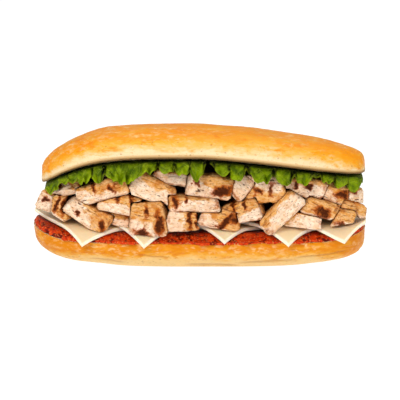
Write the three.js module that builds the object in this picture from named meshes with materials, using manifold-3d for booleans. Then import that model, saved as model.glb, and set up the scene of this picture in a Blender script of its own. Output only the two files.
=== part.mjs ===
// Submarine sandwich, in millimetres.
// X runs along the roll, Y from front to back and Z up.
// The base of the roll stands on Z = 0, and both long sides are open and show the filling.

import * as THREE from 'three';
import { mergeVertices } from 'three/addons/utils/BufferGeometryUtils.js';
import Module from 'manifold-3d';

// Roll
const BASE_LEFT = 103;
const BASE_RIGHT = 102.5;
const LID_LEFT = 98;
const LID_RIGHT = 102.3;
const ROLL_HALF_WIDTH = 37;
const PLAN_POWER = 3;
const BASE_RIM = 17.4;
const BASE_CROWN = 0.4;
const BASE_WAVE = 0.8;
const BASE_WAVE_LENGTH = 13;
const BASE_SIDE_POWER = 0.8;
const BASE_TIP_RISE_LEFT = 8;
const BASE_TIP_RISE_RIGHT = 6;
const BASE_TIP_POWER = 7;
const BASE_LIFT_LEFT = 4;
const BASE_LIFT_RIGHT = 3.2;
const BASE_LIFT_POWER = 3;
const BASE_FULLNESS_LEFT = 3.6;
const BASE_FULLNESS_RIGHT = 4.8;
const SAUCE_FULLNESS = 3.2;
const FLOOR_SINK = 1.1;
const LID_EDGE = 71;
const LID_DROOP_LEFT = 21;
const LID_DROOP_RIGHT = 13;
const LID_POWER_LEFT = 4.2;
const LID_POWER_RIGHT = 1.35;
const LID_FULLNESS_LEFT = 6;
const LID_FULLNESS_RIGHT = 5.4;
const LID_TIP_LEFT = 0.42;
const LID_TIP_RIGHT = 0.16;
const LID_HEIGHT = 15.6;
const LID_WAVE = -0.3;
const LID_WAVE_SHORT = 9.5;
const LID_WAVE_LONG = 31;
const LID_SIDE_POWER = 0.84;
const LID_CROWN_POWER = 0.82;
const LID_LIP = 3;
const CUT_POWER = 0.5;
const ROLL_SEGMENTS = 32;
const ROLL_SIDES = 16;

// Filling
const GAP = 0.35;
const DRAPE_TOP = 24.5;
const DRAPE_DROP = 9;
const DRAPE_START = 0.68;
const DRAPE_RANGE = 0.45;
const DRAPE_CORNER = 5;
const END_RISE_POWER = 6;
const END_RISE_LEFT = 13;
const END_RISE_RIGHT = 9;
const SAUCE_LEFT = 100.5;
const SAUCE_RIGHT = 100;
const SAUCE_HALF_WIDTH = 36.6;
const SAUCE_LEAST = 0.8;
const SAUCE_WAVE = 0.02;
const SAUCE_WAVE_LENGTH = 4.1;
const SAUCE_RIPPLE = 0.015;
const SAUCE_RIPPLE_LENGTH = 2.3;
const SAUCE_SIDE_POWER = 0.6;
const SAUCE_SEGMENTS = 30;
const SAUCE_SIDES = 10;
const DRAPE_POWER = 1.5;
const SLICE_SIDE = 57;
const SLICE_THICKNESS = 2.3;
const SLICE_PITCH = 3.05;
const SLICE_OVERLAP = 1.32;
const SLICE_END = 102.4;
const SLICE_END_SIDE = 60;
const SLICE_OUTLINE_POINTS = 72;
const SLICE_CELLS = 6;
const CHICKEN_FRONT = 36;
const LEAF_THICKNESS = 0.8;
const LEAF_PERIOD = 13.5;
const LEAF_REACH = 40.5;
const LEAF_SAG = 0.25;
const LEAF_RUFFLE = 2.6;
const LEAF_BEND = 0.84;
const LEAF_DROOP = 5;
const LEAF_LOBE = 4.4;
const LEAF_LOBE_LONG = 9.3;
const LEAF_LOBE_SHORT = 4.4;
const LEAF_SWAY = 1.4;
const LEAF_SWAY_LENGTH = 17;
const LEAF_COLUMNS = 30;
const LEAF_ROWS = 4;
const LEAF_LEAST = 0.34;
const LEAF_ROOT = 0.05;
const LEAF_SPREAD = 1.7;
const LEAF_BEND_POWER = 1.4;
const LEAF_END_DROOP = 0.35;
const LEAF_LEAN = 0.9;

// Slices, left to right: centre, turn in degrees and shift to the front
const SLICES = [
  [-65.6, -9, 2.4],
  [-34.1, 0, 2.8],
  [14.2, 1, -0.4],
  [49.7, 6, 1.5],
  [82.4, 8, 1.2],
];

// Chicken seen from the front, foremost first: centre x and z, length, height, tilt in degrees, set back,
// depth and how much narrower its upper side is
const FRONT_CHICKEN = {
  chicken_strip_front: [-3.1, 40.9, 30, 8.8, -2, -1, 30, 0],
  chicken_steep_front: [48.6, 35.4, 25.6, 9.6, 46, -0.5, 27, 0.1],
  chicken_round: [-30.6, 32.6, 21.4, 18, 3, -0.5, 30, 0.42],
  chicken_left_low: [-67, 33.6, 28.6, 11.4, -33, 0, 29, 0.1],
  chicken_top_left: [-57.7, 49.4, 29.5, 11, 14, 0.5, 28, 0.1],
  chicken_left_browned: [-82.4, 38.4, 10.6, 11.8, -12, 0, 27, 0],
  chicken_left_mid: [-46.3, 40.6, 28.4, 11.4, -13, 0, 29, 0.2],
  chicken_centre_low: [13.6, 31.2, 24, 11.2, -13, 0, 29, 0.3],
  chicken_centre_low_left: [-9.9, 31, 18, 13.6, -4, 0.5, 28, 0],
  chicken_centre_right: [26, 37.2, 22, 12, 14, 0, 27, 0.1],
  chicken_right_mid: [71.3, 38.3, 19.4, 11.2, -22, 0, 27, 0.2],
  chicken_right_low: [82.4, 31.6, 20, 11, -12, -0.4, 27, 0.1],
  chicken_end_right_low: [91.6, 35.4, 14.6, 10.8, -8, 0, 28, 0],
  chicken_low_right: [37.6, 32.8, 13, 12.4, 5, 1, 25, 0],
  chicken_right_low_inner: [62.4, 30.4, 24, 11, -12, 1, 28, 0],
  chicken_end_left: [-90.6, 40.6, 13, 10.4, -18, 0, 30, 0],
  chicken_end_right: [92.2, 44.2, 12.2, 10.8, 0, 1, 28, 0],
  chicken_top_right: [82.6, 46.8, 18, 12.6, -14, 1.5, 27, 0],
  chicken_top_mid_left: [-27.6, 50, 27, 12, -20, 1, 29, 0.1],
  chicken_top_centre: [4.6, 51.2, 29, 12.2, -4, 2, 29, 0.1],
  chicken_top_wedge: [24.6, 50.2, 15, 13, -38, 3, 25, 0],
  chicken_top_mid_right: [38.8, 50.4, 23, 15.4, 0, 2, 28, 0.2],
  chicken_top_right_inner: [63.2, 49.2, 27, 13, 0, 2.5, 28, 0],
  chicken_top_end_left: [-81, 49.6, 23, 8.6, 10, 3, 25, 0],
  chicken_back_top: [-17, 57, 21, 8.6, -5, 6, 26, 0],
  chicken_back_top_left: [-55.8, 57.4, 16, 7.8, 0, 8, 24, 0],
  chicken_low_small: [-49.4, 29.6, 14, 9, 0, 4, 24, 0],
  chicken_right_small: [83.9, 38.6, 12, 7, 0, 3.5, 22, 0],
};

// Chicken on the far side, in rows by height: z, half of the row's length, pieces and tilt
const FAR_ROWS = [
  { z: 32.6, reach: 88, pieces: 6, height: 15, tilt: 13 },
  { z: 42.6, reach: 86, pieces: 6, height: 14, tilt: 14 },
  { z: 52.8, reach: 74, pieces: 5, height: 13.6, tilt: 8 },
];
const FRONT_FILL = 1.04;
const FAR_DEPTH = 33;
const FAR_SHIFT = 0.2;
const FAR_LENGTH = 1.06;
const FAR_HEIGHT = 0.94;
const FAR_SPREAD = 0.24;
const FAR_BACK = 2;
const FAR_DIP = 0.3;
const CORNER_SCATTER = 0.2;
const CHUNK_CORNER = 1.5;
const CHUNK_CORNER_SHARE = 0.3;
const CHUNK_BEVEL_SHARE = 0.7;
const CHUNK_SCATTER_SIZE = 16;
const CHUNK_YAW = 24;
const YAW_SHARE = 0.6;
const SLOPE_STEP = 4;
const FRONT_LEAST = 0.3;
const SPACE_SAG = 0.35;
const SPACE_TOP_SAG = 0.7;
const CHUNK_GAP = 0.55;
const CHUNK_SMOOTH = 0.08;
const SPACE_LENGTH = 106;
const SPACE_WIDTH = 42;
const SPACE_SPREAD = 0.7;
const SPACE_COLUMNS = 12;
const SPACE_ROWS = 10;

const wasm = await Module();
wasm.setup();

const radians = (degrees) => degrees * Math.PI / 180;
const clamp = (value, low, high) => Math.min(high, Math.max(low, value));
const mix = (a, b, t) => a + (b - a) * t;
const power = (value, exponent) => Math.sign(value) * Math.abs(value) ** exponent;

// Repeatable numbers from 0 to 1
function makeRandom(seed) {
  let state = seed;
  return () => {
    state = (state + 0x6d2b79f5) | 0;
    let t = Math.imul(state ^ (state >>> 15), 1 | state);
    t = (t + Math.imul(t ^ (t >>> 7), 61 | t)) ^ t;
    return ((t ^ (t >>> 14)) >>> 0) / 4294967296;
  };
}

// Share of the full size left at x, from 1 in the middle to 0 at the tip of a blunt end
function taper(x, left, right, power) {
  const share = clamp(x < 0 ? -x / left : x / right, 0, 1);
  return (1 - share ** power) ** (1 / power);
}

// Height of the lid's cut edge, drooping toward both ends
function lidEdge(x) {
  const share = clamp(x < 0 ? -x / LID_LEFT : x / LID_RIGHT, 0, 1);
  const droop = x < 0 ? LID_DROOP_LEFT * share ** LID_POWER_LEFT : LID_DROOP_RIGHT * share ** LID_POWER_RIGHT;
  return LID_EDGE - droop;
}

// How much of its full height the lid has at x, and how far its blunt tips lift
const lidFullness = (x) => taper(x, LID_LEFT, LID_RIGHT, x < 0 ? LID_FULLNESS_LEFT : LID_FULLNESS_RIGHT);
const lidLift = (x) => LID_HEIGHT * (x < 0 ? LID_TIP_LEFT : LID_TIP_RIGHT) * (1 - lidFullness(x));

function lidUnder(x) {
  return lidEdge(x) + lidLift(x) - LID_LIP * lidFullness(x);
}

// Height of the base's cut rim, rising toward both ends
function baseRim(x) {
  const share = clamp(x < 0 ? -x / BASE_LEFT : x / BASE_RIGHT, 0, 1);
  const rise = x < 0 ? BASE_TIP_RISE_LEFT : BASE_TIP_RISE_RIGHT;
  return BASE_RIM + rise * share ** BASE_TIP_POWER - rimWave(x);
}

// Low waves of the cut rim, which grow toward the ends
function rimWave(x) {
  return BASE_WAVE * Math.cos(x / BASE_WAVE_LENGTH) * Math.abs(x) / BASE_LEFT;
}

// Underside of the cheese: level in the middle, dropping outside the roll and rising at its ends
function drape(x, y) {
  const along = Math.abs(x) / (x < 0 ? BASE_LEFT : BASE_RIGHT);
  const across = Math.abs(y) / ROLL_HALF_WIDTH;
  const reach = (along ** DRAPE_CORNER + across ** DRAPE_CORNER) ** (1 / DRAPE_CORNER);
  const rise = (x < 0 ? END_RISE_LEFT : END_RISE_RIGHT) * Math.min(along, 1) ** END_RISE_POWER;
  const drop = DRAPE_DROP * (Math.max(0, reach - DRAPE_START) / DRAPE_RANGE) ** DRAPE_POWER;
  return DRAPE_TOP + rise - drop - rimWave(x);
}

// Room that the overlapping slices need above and below the drape, widest along the middle line
function stackRoom(y) {
  const reach = SLICE_SIDE / Math.SQRT2;
  return SLICE_OVERLAP * SLICE_PITCH * Math.max(0, 1 - Math.abs(y) / reach);
}

function sauceTop(x, y) {
  return drape(x, y) - GAP - stackRoom(y);
}

function chickenFloor(x, y) {
  return drape(x, y) + SLICE_THICKNESS + GAP + stackRoom(y);
}

// How far a leaf reaches from the middle line, and how strongly it droops, at x
const leafTaper = (x) => Math.max(LEAF_LEAST, taper(x, BASE_LEFT + 2, BASE_RIGHT + 2, PLAN_POWER));

// Depth of a leaf's ruffles and height of its middle surface, under the lid
const leafRuffle = (outer) => LEAF_RUFFLE * outer ** 3;
const leafHeight = (x, outer) => lidUnder(x) - GAP - LEAF_THICKNESS / 2 - LEAF_SAG - leafRuffle(outer) * 0.5;

// How far a leaf has bent down past the edge of the roll, from 0 to its full droop
function leafDroop(x, outer, lobe) {
  const bend = clamp((outer - LEAF_BEND) / (1 - LEAF_BEND), 0, 1);
  const length = mix(LEAF_END_DROOP, 1, leafTaper(x));
  return (LEAF_DROOP + LEAF_LOBE * lobe) * length * bend ** LEAF_BEND_POWER;
}

// Lowest that a leaf may hang at x and y, less a gap
function chickenCeiling(x, y) {
  const outer = clamp(Math.abs(y) / (LEAF_REACH * leafTaper(x)) + LEAF_ROOT, 0, 1);
  const hang = leafRuffle(outer) * 0.5 + leafDroop(x, outer, 1);
  return leafHeight(x, outer) - hang - LEAF_THICKNESS / 2 - GAP;
}

// Front line of the chicken, which follows the rounded ends of the roll
function frontLine(x) {
  return CHICKEN_FRONT * Math.max(FRONT_LEAST, taper(x, BASE_LEFT, BASE_RIGHT, PLAN_POWER));
}

// A closed body from a sphere with its poles at the two ends: place(x share, cosine, sine) gives a point
function endToEnd(lengthwise, around, place) {
  const geometry = new THREE.SphereGeometry(1, around, lengthwise);
  const position = geometry.attributes.position;
  for (let i = 0; i < position.count; i += 1) {
    const share = position.getY(i);
    const cosine = position.getZ(i);
    const sine = position.getX(i);
    const radius = Math.hypot(cosine, sine);
    const point = radius < 1e-6 ? place(share, 0, 0) : place(share, cosine / radius, sine / radius);
    position.setXYZ(i, point[0], point[1], point[2]);
  }
  return bare(geometry);
}

// Only positions, with shared corners merged
function bare(geometry) {
  geometry.deleteAttribute('normal');
  geometry.deleteAttribute('uv');
  return mergeVertices(geometry, 1e-4);
}

function lidPoint(share, cosine, sine) {
  const x = share * (share < 0 ? LID_LEFT : LID_RIGHT);
  const width = ROLL_HALF_WIDTH * taper(x, LID_LEFT, LID_RIGHT, PLAN_POWER);
  const rise = lidFullness(x);
  const wave = LID_WAVE * Math.sin(x / LID_WAVE_SHORT + 0.6) * Math.sin(x / LID_WAVE_LONG + 1.3);
  const y = width * power(cosine, sine > 0 ? LID_SIDE_POWER : CUT_POWER);
  const middle = lidEdge(x) + lidLift(x);
  const above = (LID_HEIGHT + wave) * rise * Math.abs(sine) ** LID_CROWN_POWER;
  const below = LID_LIP * rise * Math.abs(sine) ** CUT_POWER;
  return [x, y, middle + (sine > 0 ? above : -below)];
}

function basePoint(share, cosine, sine) {
  const x = share * (share < 0 ? BASE_LEFT : BASE_RIGHT);
  const width = ROLL_HALF_WIDTH * taper(x, BASE_LEFT, BASE_RIGHT, PLAN_POWER);
  const rise = taper(x, BASE_LEFT, BASE_RIGHT, x < 0 ? BASE_FULLNESS_LEFT : BASE_FULLNESS_RIGHT);
  const rim = baseRim(x);
  const lift = (x < 0 ? BASE_LIFT_LEFT : BASE_LIFT_RIGHT) * Math.abs(share) ** BASE_LIFT_POWER - FLOOR_SINK;
  const bottom = mix(rim, lift, rise);
  const y = width * power(cosine, sine > 0 ? CUT_POWER : BASE_SIDE_POWER);
  if (sine > 0) {
    return [x, y, rim + BASE_CROWN * rise * sine ** CUT_POWER];
  }
  return [x, y, Math.max(0, rim - (rim - bottom) * Math.abs(sine) ** BASE_SIDE_POWER)];
}

function saucePoint(share, cosine, sine) {
  const x = share * (share < 0 ? SAUCE_LEFT : SAUCE_RIGHT);
  const wave = SAUCE_WAVE * Math.sin(x / SAUCE_WAVE_LENGTH);
  const ripple = SAUCE_RIPPLE * Math.sin(x / SAUCE_RIPPLE_LENGTH + 1);
  const width = SAUCE_HALF_WIDTH * taper(x, SAUCE_LEFT, SAUCE_RIGHT, SAUCE_FULLNESS) * (1 + wave + ripple);
  const y = width * power(cosine, SAUCE_SIDE_POWER);
  const top = sauceTop(x, y);
  const bottom = baseRim(x) + BASE_CROWN + GAP;
  const half = Math.max(SAUCE_LEAST / 2, (top - bottom) / 2);
  return [x, y, bottom + half + half * power(sine, CUT_POWER)];
}

// A thin closed sheet: both faces use the same triangles, and a band joins their edges
function sheet(columns, rows, thickness, place) {
  const plane = new THREE.PlaneGeometry(1, 1, columns, rows);
  const uv = plane.attributes.uv;
  const count = uv.count;
  const points = [];
  for (let i = 0; i < count; i += 1) {
    points.push(place(uv.getX(i), uv.getY(i)));
  }
  const upper = points.map((point) => [point.x, point.y, point.z + thickness / 2]);
  const lower = points.map((point) => [point.x, point.y, point.z - thickness / 2]);
  const faces = Array.from(plane.index.array);
  const index = [...faces];
  for (let i = 0; i < faces.length; i += 3) {
    index.push(faces[i] + count, faces[i + 2] + count, faces[i + 1] + count);
  }
  const used = new Set();
  for (let i = 0; i < faces.length; i += 3) {
    for (let k = 0; k < 3; k += 1) {
      used.add(`${faces[i + k]}_${faces[i + (k + 1) % 3]}`);
    }
  }
  for (const edge of used) {
    const [a, b] = edge.split('_').map(Number);
    if (!used.has(`${b}_${a}`)) {
      index.push(b, a, b + count, a, a + count, b + count);
    }
  }
  const geometry = new THREE.BufferGeometry();
  const array = new Float32Array([...upper, ...lower].flat());
  geometry.setAttribute('position', new THREE.BufferAttribute(array, 3));
  geometry.setIndex(index);
  return geometry;
}

// Where along the row of slices x falls: 0 at the first centre, 1 at the second and so on
function sliceIndex(x) {
  for (let k = 0; k + 1 < SLICES.length; k += 1) {
    if (x < SLICES[k + 1][0]) {
      return k + clamp((x - SLICES[k][0]) / (SLICES[k + 1][0] - SLICES[k][0]), 0, 1);
    }
  }
  return SLICES.length - 1;
}

function slicePoint(order, u, v) {
  const [centre, turn, shift] = SLICES[order];
  const angle = radians(45 + turn);
  const a = (u - 0.5) * SLICE_SIDE;
  const b = (v - 0.5) * SLICE_SIDE;
  const x = centre + a * Math.cos(angle) - b * Math.sin(angle);
  const y = a * Math.sin(angle) + b * Math.cos(angle) - shift;
  const z = drape(x, y) + SLICE_PITCH * (order - sliceIndex(x)) + SLICE_THICKNESS / 2;
  return new THREE.Vector3(x, y, z);
}

// The slices at the two ends are trimmed to a blunt outline as long as the roll
function trimmed(slice) {
  const outline = [];
  for (let k = 0; k < SLICE_OUTLINE_POINTS; k += 1) {
    const angle = 2 * Math.PI * k / SLICE_OUTLINE_POINTS;
    const x = SLICE_END * power(Math.cos(angle), CUT_POWER);
    const y = SLICE_END_SIDE * power(Math.sin(angle), CUT_POWER);
    outline.push(new THREE.Vector2(x, y));
  }
  const prism = new THREE.ExtrudeGeometry(new THREE.Shape(outline), { depth: 100, bevelEnabled: false });
  return toGeometry(toSolid(slice).intersect(toSolid(bare(prism))));
}

// A leaf from the middle line to one long side, where it bends down outside the roll in ruffles
function leafPoint(side, start, end, seed, u, v) {
  const x = mix(start, end, u);
  const outer = mix(LEAF_ROOT, 1, 1 - (1 - v) ** LEAF_SPREAD);
  const lobe = 0.5 + 0.5 * Math.sin(x / LEAF_LOBE_LONG + seed) * Math.sin(x / LEAF_LOBE_SHORT + 2 * seed);
  const phase = 2 * Math.PI * x / LEAF_PERIOD + LEAF_SWAY * Math.sin(x / LEAF_SWAY_LENGTH + seed);
  const ruffle = leafRuffle(outer);
  const y = side * (LEAF_REACH * leafTaper(x) * outer + ruffle * Math.sin(phase));
  const z = leafHeight(x, outer) - leafDroop(x, outer, lobe) + ruffle * 0.5 * Math.sin(phase + LEAF_LEAN);
  return new THREE.Vector3(x + ruffle * 0.5 * Math.sin(2 * phase), y, z);
}

// A block with bevelled ends: an octagon of the given sides, whose corners are cut off, run along Y
function bevelledBlock(length, depth, height) {
  const corner = Math.min(CHUNK_CORNER, height * CHUNK_CORNER_SHARE);
  const bevel = corner * CHUNK_BEVEL_SHARE;
  const across = [length / 2, length / 2 - corner];
  const up = [height / 2 - corner, height / 2];
  const outline = [
    [across[0], up[0]],
    [across[1], up[1]],
    [-across[1], up[1]],
    [-across[0], up[0]],
    [-across[0], -up[0]],
    [-across[1], -up[1]],
    [across[1], -up[1]],
    [across[0], -up[0]],
  ];
  const shape = new THREE.Shape(outline.map((point) => new THREE.Vector2(point[0], point[1])));
  const geometry = new THREE.ExtrudeGeometry(shape, {
    depth: depth - bevel * 2,
    bevelThickness: bevel,
    bevelSize: bevel,
    bevelOffset: -bevel,
    bevelSegments: 1,
  });
  geometry.translate(0, 0, bevel - depth / 2);
  geometry.rotateX(Math.PI / 2);
  return geometry;
}

// An irregular block: its eight outer corners are moved by random steps, then it is turned and placed.
// Its hull is the block. A grown one has sharp corners, and is what later blocks are cut by.
function chunk(place, grow) {
  const [length, depth, height] = place.size;
  const sides = [length + grow * 2, depth + grow * 2, height + grow * 2];
  const geometry = grow > 0 ? new THREE.BoxGeometry(...sides) : bevelledBlock(...sides);
  const random = makeRandom(place.seed);
  const moves = Array.from({ length: 8 }, () => [random() - 0.5, random() - 0.5, random() - 0.5]);
  const position = geometry.attributes.position;
  const turn = new THREE.Euler(0, radians(-place.tilt), radians(place.yaw), 'ZYX');
  const point = new THREE.Vector3();
  for (let i = 0; i < position.count; i += 1) {
    point.fromBufferAttribute(position, i);
    const share = [point.x / sides[0] + 0.5, point.y / sides[1] + 0.5, point.z / sides[2] + 0.5];
    const move = [0, 0, 0];
    moves.forEach((offset, k) => {
      const near = [k & 1, (k >> 1) & 1, (k >> 2) & 1];
      const weight = near.reduce((w, bit, axis) => w * (bit ? share[axis] : 1 - share[axis]), 1);
      offset.forEach((value, axis) => {
        move[axis] += weight * value * 2 * CORNER_SCATTER * Math.min(place.size[axis], CHUNK_SCATTER_SIZE);
      });
    });
    point.x *= 1 - place.pinch * (share[2] - 0.5);
    point.add(new THREE.Vector3(move[0], move[1], move[2]));
    point.applyEuler(turn).add(place.at);
    position.setXYZ(i, point.x, point.y, point.z);
  }
  return toSolid(bare(geometry)).hull();
}

function toSolid(geometry) {
  return new wasm.Manifold(new wasm.Mesh({
    numProp: 3,
    vertProperties: new Float32Array(geometry.attributes.position.array),
    triVerts: new Uint32Array(geometry.index.array),
  }));
}

function toGeometry(solid) {
  const mesh = solid.getMesh();
  const geometry = new THREE.BufferGeometry();
  geometry.setAttribute('position', new THREE.BufferAttribute(new Float32Array(mesh.vertProperties), 3));
  geometry.setIndex(new THREE.BufferAttribute(new Uint32Array(mesh.triVerts), 1));
  return geometry;
}

// The largest piece left when a cut has split a block
function largest(solid) {
  return solid.decompose().reduce((best, piece) => (piece.volume() > best.volume() ? piece : best));
}

// The space that the chicken may fill, between the cheese and the lettuce
function fillingSpace() {
  const box = new THREE.BoxGeometry(2, 2, 1, SPACE_COLUMNS, SPACE_ROWS, 1);
  const position = box.attributes.position;
  for (let i = 0; i < position.count; i += 1) {
    const x = SPACE_LENGTH * power(position.getX(i), SPACE_SPREAD);
    const y = SPACE_WIDTH * power(position.getY(i), SPACE_SPREAD);
    const z = position.getZ(i) < 0 ? chickenFloor(x, y) + SPACE_SAG : chickenCeiling(x, y) - SPACE_TOP_SAG;
    position.setXYZ(i, x, y, z);
  }
  return toSolid(bare(box));
}

// Turn of a piece at x in degrees, which follows the chicken's outline in part
function facing(x) {
  const slope = (frontLine(x + SLOPE_STEP) - frontLine(x - SLOPE_STEP)) / (2 * SLOPE_STEP);
  return clamp(Math.atan(slope) * 180 / Math.PI * YAW_SHARE, -CHUNK_YAW, CHUNK_YAW);
}

function frontPlaces() {
  return Object.entries(FRONT_CHICKEN).map(([name, row], order) => {
    const [x, z, length, height, tilt, back, depth, pinch] = row;
    const front = frontLine(x) - back;
    const yaw = -facing(x);
    const at = new THREE.Vector3(x, -front + depth / 2, z);
    const size = [length * FRONT_FILL, depth, height * FRONT_FILL];
    return { name, at, size, tilt, yaw, pinch, seed: 11 + order };
  });
}

function farPlaces() {
  const random = makeRandom(77);
  const places = [];
  FAR_ROWS.forEach((row, level) => {
    for (let k = 0; k < row.pieces; k += 1) {
      const step = 2 * row.reach / row.pieces;
      const x = -row.reach + step * (k + 0.5) + (random() - 0.5) * step * FAR_SHIFT;
      const length = step * (FAR_LENGTH + FAR_SPREAD * random());
      const height = row.height * (FAR_HEIGHT + FAR_SPREAD * random());
      const yaw = facing(x);
      const far = frontLine(x) - random() * FAR_BACK;
      const dip = row.z + (lidEdge(x) - LID_EDGE) * level * FAR_DIP;
      const at = new THREE.Vector3(x, far - FAR_DEPTH / 2, dip);
      const tilt = (random() - 0.5) * 2 * row.tilt;
      const name = `chicken_far_${level + 1}_${k + 1}`;
      const size = [length, FAR_DEPTH, height];
      places.push({ name, at, size, tilt, yaw, pinch: 0, seed: 200 + level * 10 + k });
    }
  });
  return places;
}

const group = new THREE.Group();

function addMesh(name, geometry, color, roughness) {
  const material = new THREE.MeshStandardMaterial({ color, roughness, metalness: 0 });
  const mesh = new THREE.Mesh(geometry, material);
  mesh.name = name;
  group.add(mesh);
}

addMesh('bun_lid', endToEnd(ROLL_SEGMENTS, ROLL_SIDES, lidPoint), 0xe0963c, 0.6);
addMesh('bun_base', endToEnd(ROLL_SEGMENTS, ROLL_SIDES, basePoint), 0xe6b070, 0.65);
addMesh('sauce', endToEnd(SAUCE_SEGMENTS, SAUCE_SIDES, saucePoint), 0xb8321a, 0.35);
SLICES.forEach((slice, order) => {
  const geometry = sheet(SLICE_CELLS, SLICE_CELLS, SLICE_THICKNESS, (u, v) => slicePoint(order, u, v));
  const last = order === 0 || order === SLICES.length - 1;
  addMesh(`cheese_${order + 1}`, last ? trimmed(geometry) : geometry, 0xf6e3b8, 0.45);
});

const space = fillingSpace();
const placed = [];
for (const place of [...frontPlaces(), ...farPlaces()]) {
  const reach = new THREE.Vector3(place.size[0], place.size[1], place.size[2]).length() / 2;
  let solid = chunk(place, 0).intersect(space);
  for (const other of placed) {
    if (other.at.distanceTo(place.at) < reach + other.reach) {
      solid = solid.subtract(other.grown);
    }
  }
  solid = largest(largest(solid).simplify(CHUNK_SMOOTH));
  placed.push({ at: place.at, reach, grown: chunk(place, CHUNK_GAP) });
  addMesh(place.name, toGeometry(solid), 0xd9a26b, 0.6);
}

const LEAVES = [
  ['lettuce_front_left', -1, -95, 3.6, 0.4],
  ['lettuce_front_right', -1, 6, 100, 2.2],
  ['lettuce_far_left', 1, -95, -4, 3.1],
  ['lettuce_far_right', 1, -1.6, 100, 5.2],
];
for (const [name, side, start, end, seed] of LEAVES) {
  const place = (u, v) => leafPoint(side, start, end, seed, side < 0 ? 1 - u : u, v);
  addMesh(name, sheet(LEAF_COLUMNS, LEAF_ROWS, LEAF_THICKNESS, place), 0x6f9a22, 0.5);
}

// The origin goes under the middle of the sandwich, on its lowest level
const bounds = new THREE.Box3().setFromObject(group);
const middle = bounds.getCenter(new THREE.Vector3());
group.children.forEach((mesh) => {
  mesh.geometry.translate(-middle.x, -middle.y, -bounds.min.z);
});

export default group;
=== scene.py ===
# Submarine sandwich: a long roll with grilled chicken, lettuce, cheese slices and tomato sauce.
# Shapes are worked out in millimetres, with X along the roll and its front side at negative Y.
import math

import bpy
import numpy as np
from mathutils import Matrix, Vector


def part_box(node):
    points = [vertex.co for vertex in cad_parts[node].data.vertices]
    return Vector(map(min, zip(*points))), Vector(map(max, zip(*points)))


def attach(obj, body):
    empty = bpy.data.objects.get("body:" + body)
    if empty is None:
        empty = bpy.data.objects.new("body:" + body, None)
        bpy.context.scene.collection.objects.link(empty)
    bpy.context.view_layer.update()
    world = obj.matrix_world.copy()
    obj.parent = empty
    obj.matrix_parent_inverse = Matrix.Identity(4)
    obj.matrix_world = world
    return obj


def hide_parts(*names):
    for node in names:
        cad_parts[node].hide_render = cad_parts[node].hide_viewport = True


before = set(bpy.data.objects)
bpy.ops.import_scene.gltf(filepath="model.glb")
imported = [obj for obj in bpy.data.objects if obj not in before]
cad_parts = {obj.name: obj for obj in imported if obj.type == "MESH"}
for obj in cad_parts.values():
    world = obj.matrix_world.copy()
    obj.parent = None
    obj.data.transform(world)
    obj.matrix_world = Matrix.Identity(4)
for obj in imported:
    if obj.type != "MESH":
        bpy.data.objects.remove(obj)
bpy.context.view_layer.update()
baseLow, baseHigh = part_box("bun_base")
shift = np.array([baseLow.x * 1000 + 103, (baseLow.y + baseHigh.y) * 500, 0])
print("frame loaded, shift", np.round(shift, 3))


# Smooth step: 0 below low, 1 above high and 3t^2 - 2t^3 between them
def smooth(low, high, value):
    t = np.clip((value - low) / (high - low), 0, 1)
    return t * t * (3 - 2 * t)


# Lattice noise from 0 to 1: every whole-number corner has a value mixed from its coordinates,
# and the eight round a point are blended by 3t^2 - 2t^3
def latticeNoise(points, seed):
    cell = np.floor(points).astype(np.int64)
    part = points - cell
    part = part * part * (3 - 2 * part)
    total = np.zeros(points.shape[:-1])
    start = np.uint64(seed * 3266489917 & 0xffffffffff)
    for corner in range(8):
        step = np.array([corner & 1, corner >> 1 & 1, corner >> 2 & 1])
        place = (cell + step).astype(np.uint64)
        mixed = place[..., 0] * np.uint64(374761393) + place[..., 1] * np.uint64(668265263)
        mixed = mixed + place[..., 2] * np.uint64(2246822519) + start
        mixed = (mixed ^ (mixed >> np.uint64(13))) * np.uint64(1274126177)
        mixed = mixed ^ (mixed >> np.uint64(16))
        value = (mixed & np.uint64(0xffff)).astype(float) / 65535
        total += value * np.prod(np.where(step > 0, part, 1 - part), axis=-1)
    return total


# Sum of lattice noises, each twice as fine and half as strong, from -1 to 1; size is the first one's cell
def fractalNoise(points, size, octaves=3, seed=1):
    total, strength, whole = 0, 1.0, 0.0
    for octave in range(octaves):
        finer = points / np.array(size) * 2 ** octave + 17.3 * octave
        total = total + strength * (latticeNoise(finer, seed + octave) * 2 - 1)
        whole += strength
        strength *= 0.5
    return total / whole


# Vertex normals: the cross products of the triangles that meet at a vertex, added and made one unit long
def vertexNormals(points, faces):
    corners = points[faces]
    cross = np.cross(corners[:, 1] - corners[:, 0], corners[:, 2] - corners[:, 0])
    normals = np.zeros_like(points)
    for corner in range(3):
        for axis in range(3):
            normals[:, axis] += np.bincount(faces[:, corner], cross[:, axis], minlength=len(points))
    return normals / np.maximum(np.linalg.norm(normals, axis=1, keepdims=True), 1e-12)


# Each vertex moves by a share of the way to the mean of its neighbours, once a round
def relax(points, faces, rounds, share):
    starts = faces.ravel()
    ends = np.roll(faces, -1, axis=1).ravel()
    count = np.bincount(starts, minlength=len(points))[:, None]
    for turn in range(rounds):
        sums = [np.bincount(starts, points[ends, axis], minlength=len(points)) for axis in range(3)]
        points = points + share * (np.stack(sums, axis=1) / count - points)
    return points


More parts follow.
